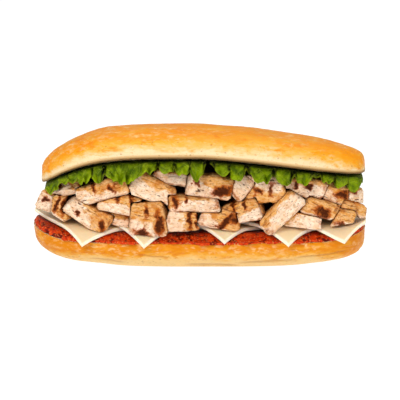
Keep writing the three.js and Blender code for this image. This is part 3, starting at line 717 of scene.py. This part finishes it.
# Lettuce: each leaf runs from the middle line to one side, where it bends down in ruffles
leaf = dict(reach=40.5, past=1.9, thickness=0.5, columns=560, rows=44, sag=0.25, ruffle=2.6, outPush=0.75,
            inPull=2.1, bend=0.84, period=13.5, droop=5, lobe=4.4, hang=1.06, least=0.6, between=0.55,
            betweenWidth=1.7, spread=1.5, wander=2.0, frill=1.9, frillPeriod=5.6, frillWander=6, tooth=0.9,
            pleat=1.6, crinkle=0.7, leastReach=0.34)
# Lobes that show at the front: middle x, half width and how far each hangs down
frontLobes = [(-92.1, 7.0, 4.2), (-83.7, 4.6, 2.2), (-77.5, 4.0, 3.2), (-70.1, 5.0, 5.6), (-61.7, 3.4, 7.4),
              (-45.6, 13.0, 8.6), (-30.7, 5.2, 3.6), (-20.1, 4.4, 4.2), (-11.2, 5.2, 4.6), (-1.6, 5.2, 8.4),
              (13.6, 5.0, 4.6), (22.3, 4.8, 7.0), (36.9, 7.2, 6.4), (51.8, 5.8, 6.0), (62.9, 5.6, 4.2),
              (77.8, 4.4, 2.2), (85.6, 4.8, 3.8), (96.1, 7.6, 6.8)]


# Share of the leaf's reach at x: the roll's plan, 2 mm longer at each end, but never under the least reach
def leafTaper(x):
    return np.maximum(leaf["leastReach"], taper(x, base["left"] + 2, base["right"] + 2, roll["planPower"]))


# A lobe's outline from 1 in its middle to 0 at its sides: (1 - |t|^2.4)^0.8
def lobeOutline(t):
    return np.clip(1 - np.abs(t) ** 2.4, 0, 1) ** 0.8


# 1 in the middle of a lobe and 0 in the folds between lobes, with how far the leaf hangs there; it hangs by a
# smaller share of the lobe's drop a little past its sides, so that the folds are filled
def lobeShape(x, lobes):
    fold, hang = np.zeros_like(x), np.zeros_like(x)
    for middle, halfWidth, drop in lobes:
        t = (x - middle) / halfWidth
        fold = np.maximum(fold, smooth(-0.4, min(3.4, halfWidth * 0.75), halfWidth - np.abs(x - middle)))
        hang = np.maximum(hang, drop * lobeOutline(t))
        hang = np.maximum(hang, leaf["between"] * drop * lobeOutline(t / leaf["betweenWidth"]))
    return fold, hang


# A leaf: y is the reach times the share outward, pushed out in lobes and drawn in between them; z hangs from
# the lid's underside by the lobe's drop times bend^1.2 at the front, or by the droop times bend^1.4 at the
# far side; crinkles, then small frills, pleats and teeth, grow toward the rim
def makeLeaf(name, side, start, end, seed):
    columns, rows = leaf["columns"], leaf["rows"]
    u = np.linspace(0, 1, columns + 1)[:, None]
    v = np.linspace(0, 1, rows + 1)[None, :]
    u, v = np.broadcast_arrays(u, v)
    x = start + (end - start) * u
    outer = 0.05 + 0.95 * (1 - (1 - v) ** 1.7)
    flat = np.stack([x, outer * 20, np.full_like(x, seed)], axis=-1)
    ruffle = leaf["ruffle"] * outer ** 3
    bend = np.clip((outer - leaf["bend"]) / (1 - leaf["bend"]), 0, 1)
    height = lidUnder(x) - filling["gap"] - leaf["thickness"] / 2 - leaf["sag"] - ruffle * 0.5
    warped = x + leaf["wander"] * fractalNoise(flat, (7, 14, 1), 3, 50)
    pleats = fractalNoise(flat, (5.2, 4.5, 1), 3, 56)
    if side < 0:
        fold, hang = lobeShape(warped, frontLobes)
        slope = np.gradient(fold, x[:, 0], axis=0)
        push = 2 * fold - 1
        lit = push
        spread = -leaf["spread"] * np.clip(slope, -1.0, 1.0) * outer ** 4
        droop = (leaf["least"] + leaf["hang"] * hang) * bend ** 1.2
        lifted = 0.4 * ruffle * (1 - fold)
    else:
        lobe = 0.5 + 0.5 * np.sin(x / 9.3 + seed) * np.sin(x / 4.4 + 2 * seed)
        phase = 2 * np.pi * warped / leaf["period"] + 1.4 * np.sin(x / 17 + seed)
        push = np.sin(phase)
        lit = np.clip(1.2 * push + 0.7, -1, 1)
        spread = ruffle * 0.5 * np.sin(2 * phase)
        droop = (leaf["droop"] + leaf["lobe"] * lobe) * (0.35 + 0.65 * leafTaper(x)) * bend ** 1.4
        lifted = ruffle * 0.5 * np.sin(phase + 0.9)
    fromEnd = np.minimum(x - start, end - x) + 1.5 * fractalNoise(flat, (5, 5, 1), 2, 57)
    droop = droop * (0.3 + 0.7 * smooth(-0.5, 4.5, fromEnd))
    drawn = ruffle * np.where(push > 0, leaf["outPush"], leaf["inPull"]) * push
    near = smooth(0.93, 1.0, outer)
    frill = leaf["frill"] * smooth(0.86, 1.0, outer) * (0.4 + 1.2 * latticeNoise(flat / 5, 51))
    wander = leaf["frillWander"] * fractalNoise(flat, (9, 60, 1), 2, 52)
    wave = 2 * np.pi * x / leaf["frillPeriod"] + wander
    tooth = leaf["tooth"] * near * fractalNoise(flat, (1.5, 60, 1), 3, 53)
    pleated = leaf["pleat"] * pleats * smooth(0.84, 1.0, outer)
    y = leaf["reach"] * leafTaper(x) * outer + drawn + frill * np.cos(wave) + 0.6 * tooth + pleated
    y = np.minimum(y, leaf["reach"] * leafTaper(x) + leaf["past"])
    z = height - droop + lifted + 0.45 * frill * np.sin(wave + 0.7) + tooth + 0.6 * pleated
    middle = np.stack([x + spread, side * y, z], axis=-1)
    across = np.cross(np.gradient(middle, axis=0), np.gradient(middle, axis=1))
    across = across / np.maximum(np.linalg.norm(across, axis=-1, keepdims=True), 1e-9)
    crinkle = leaf["crinkle"] * fractalNoise(middle, (4.5, 4.5, 4.5), 3, 54) * smooth(0.3, 0.9, outer)
    middle = middle + across * crinkle[..., None]
    steps = np.linalg.norm(np.diff(middle, axis=1), axis=-1)
    summed = np.cumsum(steps[:, ::-1], axis=1)[:, ::-1]
    fromRim = np.concatenate([summed, np.zeros((columns + 1, 1))], axis=1)
    rowsIn = np.minimum(np.arange(columns + 1), np.arange(columns + 1)[::-1])[:, None]
    columnsIn = np.minimum(np.arange(rows + 1), np.arange(rows + 1)[::-1])[None, :]
    inward = np.clip(np.minimum(rowsIn, columnsIn) / 4, 0, 1)
    half = leaf["thickness"] / 2 * np.sqrt(1 - (1 - inward) ** 2)
    upper = middle + across * half[..., None]
    lower = middle - across * half[..., None]
    points, faces = closedSheet(upper, lower)
    top = vertexNormals(points, faces)[(columns // 2) * (rows + 1) + rows // 3][2]
    if (top < 0) == (upper[columns // 2, rows // 3, 2] > lower[columns // 2, rows // 3, 2]):
        faces = faces[:, ::-1]
    # fold is a painted shade value from lit, the pleats and the frills: low in the recesses between lobes and
    # ruffles
    fields = {
        "rim": onSheet(smooth(1.9, 0.1, fromRim + 1.6 * fractalNoise(flat, (2, 60, 1), 2, 55))),
        "outer": onSheet(outer),
        "fold": onSheet(np.clip(0.5 + 0.5 * lit + 0.5 * pleats * outer + 0.22 * np.cos(wave) * near, 0, 1)),
        "vein": np.stack([onSheet(x), onSheet(fromRim), np.full(len(points), float(seed * 9))], axis=1),
    }
    pieceName = name.replace("lettuce_", "lettuce_leaf_")
    makePiece(pieceName, points, faces, fields, lettuceMaterial, name)


recipe = Recipe("lettuce_fresh")
rim = recipe.field("rim")
outer = recipe.field("outer")
fold = recipe.field("fold")
veinPlace = recipe.field("vein", vector=True)
tone = recipe.noise((4.6, 5.0, 9.0), 3.0, 0.55, veinPlace)
blister = recipe.noise(2.2, 3.0, 0.5)
veins = recipe.step(recipe.cells((4.2, 7.0, 4.0), veinPlace, "DISTANCE_TO_EDGE"), 0.05, 0.0)
colour = recipe.blend(recipe.step(tone, 0.3, 0.7), tint(60, 82, 0), tint(126, 148, 0))
# Painted shade: where fold is low, in the recesses between lobes and on turned-away pleats, the leaf goes
# near-black green
colour = recipe.blend(recipe.step(fold, 0.88, 0.4), colour, tint(6, 11, 0))
# Painted shadow of the lid: the part of the leaf under the lid's overhang, before the bend, is darkened to
# deep green
colour = recipe.blend(recipe.step(outer, 0.9, 0.84) * 0.6, colour, tint(22, 38, 0))
colour = recipe.blend(recipe.step(blister, 0.5, 0.8) * 0.4, colour, tint(136, 166, 4))
colour = recipe.blend(veins * 0.35, colour, tint(158, 172, 48))
colour = recipe.blend(rim * 0.32, colour, tint(160, 176, 20))
shine = 0.42 + (blister - 0.5) * 0.2
normal = recipe.relief(blister * 0.6 + tone * 0.4 - veins * 0.35, 0.7, 0.9)
lettuceMaterial = recipe.finish(colour, shine, normal, {
    "Subsurface Weight": 0.12, "Subsurface Radius": (0.6, 1.0, 0.2), "Subsurface Scale": 0.0008,
    "Specular IOR Level": 0.08})
makeLeaf("lettuce_front_left", -1, -95, 3.6, 0.4)
makeLeaf("lettuce_front_right", -1, 6, 100, 2.2)
makeLeaf("lettuce_far_left", 1, -95, -4, 3.1)
makeLeaf("lettuce_far_right", 1, -1.6, 100, 5.2)
print("lettuce")

# Chicken: tilt of the fibres, direction and share of the seared skin, then grill marks by
# x, z, width, height and tilt, in millimetres and degrees
chickenCuts = {
    "chicken_strip_front": (-2, 150, 0.3, [(-14.9, 42.7, 2.5, 5, 0), (-8.7, 44, 1.9, 3.7, 0)]),
    "chicken_steep_front": (48, 100, 0.25, []),
    "chicken_round": (0, 60, 0.75, [(-24.8, 30.8, 3.1, 9.9, 5), (-35.3, 24.5, 5.6, 3.7, 0),
                                    (-32.2, 37.7, 1.9, 5.6, 0)]),
    "chicken_left_low": (-33, 20, 0.42, [(-59.5, 28.6, 2.5, 6.2, 0), (-74.4, 35.8, 1.9, 3.1, 0)]),
    "chicken_left_mid": (-12, 95, 0.38, [(-50.2, 46.3, 3.1, 6.2, 0), (-41.5, 42.6, 1.9, 5, 10)]),
    "chicken_centre_low": (-15, 40, 0.7, [(16.1, 29.6, 2.5, 12.4, -50), (22.3, 32.7, 1.9, 6.2, -30)]),
    "chicken_centre_low_left": (-5, 0, 0.45, [(-6.2, 31.5, 1.9, 8.7, 0), (-1.9, 30.8, 1.2, 7.4, 0)]),
    "chicken_centre_right": (14, 130, 0.5, [(19.8, 39.6, 1.9, 5.6, 15), (27.9, 40.2, 1.9, 5.6, 15)]),
    "chicken_right_mid": (-25, 90, 0.85, [(75, 35.7, 6.8, 5.6, -25)]),
    "chicken_right_low": (-10, 100, 0.85, [(88.7, 26.9, 8.1, 3.1, -15)]),
    "chicken_right_low_inner": (-12, 170, 0.45, []),
    "chicken_end_left": (-20, 90, 0.15, [(-94.9, 42.7, 3.1, 1.9, -20), (-88.7, 39.5, 2.5, 1.9, -20)]),
    "chicken_end_right_low": (-10, 90, 0.8, [(97.3, 30.5, 5.6, 3.1, -10)]),
    "chicken_end_right": (0, 100, 0.3, [(94.2, 48.4, 3.1, 4.3, 0)]),
    "chicken_left_browned": (-12, 60, 0.9, [(-86.8, 40.8, 1.9, 8.1, -15), (-83.1, 38.5, 1.9, 7.4, -15)]),
    "chicken_top_right": (-18, 30, 0.5, [(86.8, 45.8, 5.6, 3.7, -20)]),
    "chicken_top_left": (14, 50, 0.5, [(-65.1, 51.1, 1.9, 5, 0), (-53.9, 51.9, 1.9, 5, 10)]),
    "chicken_top_mid_left": (-20, 70, 0.25, []),
    "chicken_top_centre": (-5, 40, 0.4, [(13, 49.6, 7.4, 4.3, 10), (-2.5, 55.3, 1.9, 3.7, 0)]),
    "chicken_top_wedge": (-38, 200, 0.15, []),
    "chicken_top_mid_right": (0, 270, 0.45, [(36, 48.9, 3.7, 3.1, 0), (43.4, 50.1, 1.9, 5.6, 0)]),
    "chicken_top_right_inner": (0, 95, 0.35, [(58.3, 51.8, 2.5, 3.1, 0), (67, 51, 3.1, 3.1, 0)]),
    "chicken_top_end_left": (10, 10, 0.3, [(-72.5, 52.1, 3.1, 5.6, 15), (-85.6, 52.8, 1.9, 3.1, 0)]),
    "chicken_back_top": (-5, 90, 0.15, []),
    "chicken_back_top_left": (0, 90, 0.5, []),
    "chicken_low_small": (0, 90, 0.4, []),
    "chicken_low_right": (0, 120, 0.85, [(36, 32, 2.5, 7.4, 10), (40.9, 35.1, 1.9, 6.2, 0)]),
    "chicken_right_small": (0, 90, 0.9, []),
}
# Relief of the cuts in millimetres, and the shares and lines that their shape and shading follow
cuts = dict(frontSteps=46, farSteps=34, relaxed=0.45, frontLine=36, frontLeast=0.3, endLine=95, most=0.45,
            lumps=0.3, lumpsIn=0.1, fibres=0.24, slits=0.85, grooves=0.22, chips=0.9, seared=0.45,
            charred=0.3, out=0.25)
grill = dict(wobble=3.2, widthShare=0.74, heightShare=0.68, power=2.4, reach=1.4)


# A welded grid on a cube from -1 to 1: six square grids whose equal points are merged
def cubeGrid(steps):
    line = np.linspace(-1, 1, steps + 1)
    u, v = np.meshgrid(line, line, indexing="ij")
    points, faces = [], []
    for side in range(6):
        axis, sign = side // 2, 1 if side % 2 else -1
        grid = np.empty(u.shape + (3,))
        grid[..., axis] = sign
        grid[..., (axis + 1) % 3] = u
        grid[..., (axis + 2) % 3] = v
        numbers = np.arange(u.size).reshape(u.shape) + side * u.size
        points.append(grid.reshape(-1, 3))
        faces.append(gridFaces(numbers)[:, ::sign])
    points, inverse = np.unique(np.round(np.concatenate(points), 6), axis=0, return_inverse=True)
    return points, inverse.reshape(-1)[np.concatenate(faces)]


# Distance from the centre along each ray to the first triangle of a closed surface, by Cramer's rule
def rayLengths(centre, rays, triangles):
    corner = triangles[:, 0]
    first, second, away = triangles[:, 1] - corner, triangles[:, 2] - corner, centre - corner
    crossed = np.cross(away, first)
    scale = rays @ np.cross(second, first).T
    scale = np.where(np.abs(scale) < 1e-12, 1e-12, scale)
    u = rays @ np.cross(second, away).T / scale
    v = rays @ crossed.T / scale
    reach = (second * crossed).sum(axis=1)[None, :] / scale
    hit = (u > -1e-4) & (v > -1e-4) & (u + v < 1.0001) & (reach > 1e-5)
    lengths = np.where(hit, reach, np.inf).min(axis=1)
    return np.where(np.isfinite(lengths), lengths, np.median(lengths[np.isfinite(lengths)]))


# Front line of the chicken, which follows the rounded ends of the roll
def frontLine(x):
    plan = taper(x, base["left"], base["right"], roll["planPower"])
    return cuts["frontLine"] * np.maximum(cuts["frontLeast"], plan)


# How strongly each point lies in a grill mark: 1.4 less (a^2.4 + b^2.4)^(1/2.4), with a and b the distances
# from its middle in shares of its width and height, after a wobble that makes its border ragged
def charField(points, marks):
    burnt = np.zeros(len(points))
    power = grill["power"]
    wobble = [fractalNoise(points, 3.2, 4, seed) * grill["wobble"] for seed in (71, 72)]
    for x, z, width, height, tilt in marks:
        turned = math.radians(tilt)
        dx, dz = points[:, 0] - x + wobble[0], points[:, 2] - z + wobble[1]
        a = (dx * math.cos(turned) + dz * math.sin(turned)) / (width * grill["widthShare"])
        b = (dz * math.cos(turned) - dx * math.sin(turned)) / (height * grill["heightShare"])
        distance = (np.abs(a) ** power + np.abs(b) ** power) ** (1 / power)
        burnt = np.maximum(burnt, np.clip(grill["reach"] - distance, 0, 1))
    return burnt


# A cut of chicken: rays from the middle of its solid give its form, relaxed at the edges. The relief is
# lumps, fibres and grooves along the cut, slits between the fibres, chips off the edges, roughness of the
# seared skin and dents in the grill marks.
def makeCut(name, steps, tilt, skinTurn, skinShare, marks, seed):
    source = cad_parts[name].data
    corners = np.empty(len(source.vertices) * 3, dtype=np.float32)
    source.vertices.foreach_get("co", corners)
    corners = corners.reshape(-1, 3).astype(float) * 1000 - shift
    source.calc_loop_triangles()
    index = np.empty(len(source.loop_triangles) * 3, dtype=np.int32)
    source.loop_triangles.foreach_get("vertices", index)
    triangles = corners[index.reshape(-1, 3)]
    volumes = (triangles[:, 0] * np.cross(triangles[:, 1], triangles[:, 2])).sum(axis=1)
    centre = (triangles.sum(axis=1) / 4 * volumes[:, None]).sum(axis=0) / volumes.sum()
    turned = math.radians(tilt)
    cosine, sine = math.cos(turned), math.sin(turned)
    axes = np.array([[cosine, 0, sine], [0, 1, 0], [-sine, 0, cosine]])
    local = (corners - centre) @ axes.T
    half = (local.max(axis=0) - local.min(axis=0)) / 2
    grid, faces = cubeGrid(steps)
    rays = (grid * half) @ axes
    points = centre + rays * rayLengths(centre, rays, triangles)[:, None]
    points = relax(points, faces, 1, cuts["relaxed"])
    local = (points - centre) @ axes.T
    share = local / half
    moved = local + np.array([seed * 31.7, seed * 13.3, seed * 7.9])
    turnedSkin = math.radians(skinTurn)
    along = share[:, 0] * math.cos(turnedSkin) + share[:, 2] * math.sin(turnedSkin)
    edgeNoise = fractalNoise(moved, 5.0, 4, 61)
    normals = vertexNormals(points, faces)
    skinward = along - (0.86 - 2 * skinShare) + 0.55 * edgeNoise
    skin = smooth(-0.3, 0.3, skinward + 0.6 * (normals[:, 2] - 0.15))
    burnt = charField(points, marks) if marks else np.zeros(len(points))
    burnt = burnt * smooth(0.5, -0.1, share[:, 1] * (1 if centre[1] < 0 else -1))
    lumps = fractalNoise(moved, 8, 2, 62) * cuts["lumps"] - cuts["lumpsIn"]
    fibres = fractalNoise(moved, (8, 1.5, 1.2), 3, 63)
    grooves = smooth(0.1, 0.0, np.abs(fractalNoise(moved, (11, 2.4, 2.2), 2, 67))) * (1 - 0.7 * skin)
    slits = smooth(0.5, 0.64, fractalNoise(moved, (3.2, 2.6, 1.2), 2, 64)) * (1 - skin * 0.8)
    seared = fractalNoise(moved, (1.8, 1.8, 1.4), 3, 65)
    away = np.sort(np.abs(share), axis=1)[:, 1]
    edge = smooth(0.78, 0.97, away + 0.2 * fractalNoise(moved, 2.4, 2, 66))
    chips = edge * smooth(0.0, 0.5, fractalNoise(moved, (4, 2.6, 2.6), 3, 68))
    move = lumps + cuts["fibres"] * fibres * (1 - 0.6 * skin) - cuts["slits"] * slits
    move = move - cuts["grooves"] * grooves - cuts["chips"] * chips
    move = move + cuts["seared"] * seared * skin - cuts["charred"] * burnt + cuts["out"]
    points = points + normals * np.minimum(move, cuts["most"])[:, None]
    slits = np.maximum(slits, 0.2 * grooves)
    # The mask below marks surfaces lying well in from the front line, for a painted shade in the gaps between
    # cuts; it fades near the ends
    endward = (np.abs(points[:, 0]) / cuts["endLine"]) ** 6
    sideward = np.maximum(np.abs(points[:, 1]) / frontLine(points[:, 0]), endward)
    fields = {"skin": skin, "char": burnt, "slit": slits, "edge": edge, "fibre": moved,
              "gapShade": smooth(0.86, 0.5, sideward)}
    pieceName = name.replace("chicken_", "chicken_cut_")
    makePiece(pieceName, points, faces, fields, chickenMaterial, name)


recipe = Recipe("chicken_grilled")
fibre = recipe.field("fibre", vector=True)
skin = recipe.field("skin")
burnt = recipe.field("char")
slit = recipe.field("slit")
gapShade = recipe.field("gapShade")
edge = recipe.field("edge")
strands = recipe.noise((6.0, 1.1, 0.9), 3.0, 0.6, fibre)
patch = recipe.noise(5.0, 3.0, 0.55, fibre)
mottle = recipe.noise(1.5, 3.0, 0.65, fibre)
fine = recipe.noise(0.55, 2.0, 0.6, fibre)
golden = recipe.step(recipe.noise((4.0, 2.2, 2.0), 3.0, 0.6, fibre), 0.5, 0.68)
flesh = recipe.blend(recipe.step(patch, 0.3, 0.7), tint(248, 224, 198), tint(236, 200, 164))
flesh = recipe.blend(recipe.step(strands, 0.48, 0.8) * 0.5, flesh, tint(212, 160, 112))
flesh = recipe.blend(golden * 0.5, flesh, tint(218, 156, 82))
flesh = recipe.blend(edge * recipe.step(mottle, 0.2, 0.55) * 0.85, flesh, tint(176, 94, 24))
holes = recipe.step(recipe.cells((2.4, 1.2, 0.9), fibre), 0.22, 0.12)
flesh = recipe.blend(holes * 0.75, flesh, tint(104, 48, 8))
flesh = recipe.blend(slit * 0.9, flesh, tint(78, 32, 4))
sear = recipe.blend(recipe.step(mottle, 0.35, 0.65), tint(208, 132, 42), tint(234, 182, 110))
sear = recipe.blend(recipe.step(strands, 0.58, 0.42) * 0.38, sear, tint(240, 204, 156))
sear = recipe.blend(recipe.step(patch, 0.46, 0.66) * 0.7, sear, tint(192, 108, 16))
streak = recipe.step(recipe.noise((4.4, 3.4, 1.2), 4.0, 0.65, fibre, 0.5), 0.53, 0.66)
sear = recipe.blend(streak * 0.8, sear, tint(118, 54, 2))
sear = recipe.blend(edge * 0.65, sear, tint(124, 50, 4))
ragged = recipe.step(skin + (mottle - 0.5) * 1.3 + (patch - 0.5) * 0.6 + (fine - 0.5) * 0.4, 0.22, 0.8)
colour = recipe.blend(ragged, flesh, sear)
scorch = recipe.step(burnt + (mottle - 0.5) * 1.3 + (fine - 0.5) * 0.6, 0.2, 0.95)
halo = recipe.step(burnt + (mottle - 0.5) * 1.1, -0.05, 0.5)
colour = recipe.blend(halo * 0.85, colour, tint(178, 78, 8))
colour = recipe.blend(scorch * 0.95, colour, tint(62, 20, 0))
# Painted shade: surfaces set back from the front of the filling are darkened to deep brown, as the shade in
# the gaps between cuts
colour = recipe.blend(gapShade * 0.85, colour, tint(76, 32, 4))
shine = 0.45 + (mottle - 0.5) * 0.3
height = strands * 0.6 + mottle * 0.35 + fine * 0.14 - holes * 0.6
normal = recipe.relief(height, 0.8, 1.0)
chickenMaterial = recipe.finish(colour, shine, normal, {
    "Subsurface Weight": 0.08, "Subsurface Radius": (1.0, 0.5, 0.3), "Subsurface Scale": 0.001,
    "Specular IOR Level": 0.06})
for order, (name, (tilt, skinTurn, skinShare, marks)) in enumerate(chickenCuts.items()):
    makeCut(name, cuts["frontSteps"], tilt, skinTurn, skinShare, marks, order + 1)
print("chicken in front")

# Far side: each cut has its own tilt, skin and one to three grill marks, drawn from one seed
random = np.random.default_rng(5)
farNames = sorted(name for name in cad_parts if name.startswith("chicken_far"))
for order, name in enumerate(farNames):
    low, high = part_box(name)
    middle = np.array([low.x + high.x, 0, low.z + high.z]) * 500 - shift
    marks = []
    for mark in range(random.integers(1, 4)):
        aside = middle + random.uniform(-6, 6, 3)
        width = random.uniform(2, 4)
        height = random.uniform(3, 7)
        marks.append((aside[0], aside[2], width, height, random.uniform(-30, 30)))
    tilt = random.uniform(-15, 15)
    skinTurn = random.uniform(0, 360)
    skinShare = random.uniform(0.2, 0.8)
    makeCut(name, cuts["farSteps"], tilt, skinTurn, skinShare, marks, order + 40)
print("chicken behind")
